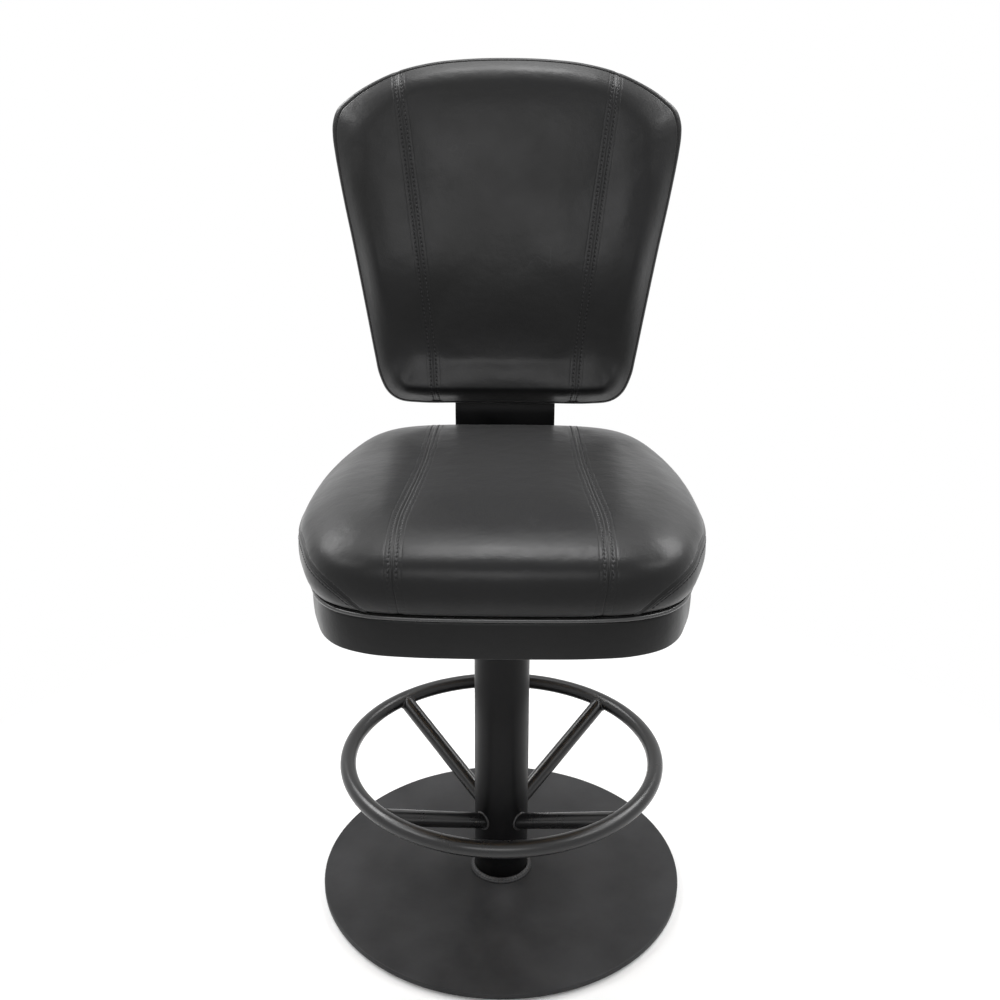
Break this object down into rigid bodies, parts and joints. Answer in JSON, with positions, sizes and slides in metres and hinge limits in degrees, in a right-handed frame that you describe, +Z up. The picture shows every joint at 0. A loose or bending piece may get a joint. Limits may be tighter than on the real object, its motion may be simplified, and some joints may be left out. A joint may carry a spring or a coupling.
{
  "type": "casino stool",
  "caption": "Black upholstered casino stool: swivelling cushioned seat with an arched padded back on a flat bracket, steel column, round foot ring on sloping spokes and a disc base.",
  "frame": {"origin": "on the column's axis, at the underside of the floor pad", "axes": "+Z up the column, -Y towards the front of the seat, +X to the right of someone who looks at the stool's front"},
  "size_m": [0.515, 0.6199, 1.1275],
  "materials": {
    "powder_black": "satin",
    "steel_turned": "satin",
    "zinc_plate": "satin",
    "nylon_white": "matte",
    "rubber_black": "matte",
    "plywood": "matte",
    "foam": "matte",
    "leather_black": "satin"
  },
  "bodies": {
    "base": {"base_pad": "rubber_black", "base_plate": "powder_black", "column_weld": "powder_black", "column_tube": "powder_black", "foot_ring": "powder_black", "foot_spoke_1": "powder_black", "foot_spoke_2": "powder_black", "foot_spoke_3": "powder_black", "foot_spoke_4": "powder_black", "bearing_housing": "steel_turned", "upper_bush": "nylon_white", "lower_bush": "nylon_white", "lower_race": "steel_turned"},
    "ball_set": {"ball_cage": "nylon_white", "bearing_ball_1": "steel_turned", "bearing_ball_2": "steel_turned", "bearing_ball_3": "steel_turned", "bearing_ball_4": "steel_turned", "bearing_ball_5": "steel_turned", "bearing_ball_6": "steel_turned", "bearing_ball_7": "steel_turned", "bearing_ball_8": "steel_turned", "bearing_ball_9": "steel_turned", "bearing_ball_10": "steel_turned"},
    "seat": {"upper_race": "steel_turned", "swivel_spindle": "steel_turned", "retaining_washer": "zinc_plate", "spindle_nut": "zinc_plate", "swivel_plate": "powder_black", "seat_bolt_1": "zinc_plate", "seat_bolt_2": "zinc_plate", "seat_bolt_3": "zinc_plate", "seat_bolt_4": "zinc_plate", "t_nut_1": "zinc_plate", "t_nut_2": "zinc_plate", "t_nut_3": "zinc_plate", "t_nut_4": "zinc_plate", "seat_board": "plywood", "seat_foam": "foam", "seat_cover": "leather_black", "seat_piping": "leather_black", "seat_skirt": "leather_black", "back_bracket": "powder_black", "bracket_bolt_1": "zinc_plate", "bracket_bolt_2": "zinc_plate", "bracket_bolt_3": "zinc_plate", "bracket_bolt_4": "zinc_plate", "back_board": "plywood", "back_foam": "foam", "back_cover": "leather_black", "back_rear_panel": "leather_black", "back_bolt_1": "zinc_plate", "back_bolt_2": "zinc_plate", "back_bolt_3": "zinc_plate", "back_bolt_4": "zinc_plate"}
  },
  "joints": [
    {"name": "seat_swivel", "type": "hinge", "parent": "base", "child": "seat", "pos_m": [0, 0, 0.5], "axis": [0, 0, 1], "continuous": true},
    {"name": "ball_set_spin", "type": "hinge", "parent": "base", "child": "ball_set", "pos_m": [0, 0, 0.51], "axis": [0, 0, 1], "continuous": true}
  ],
  "couplings": [
    {"joint": "ball_set_spin", "follows": "seat_swivel", "ratio": 0.5}
  ]
}
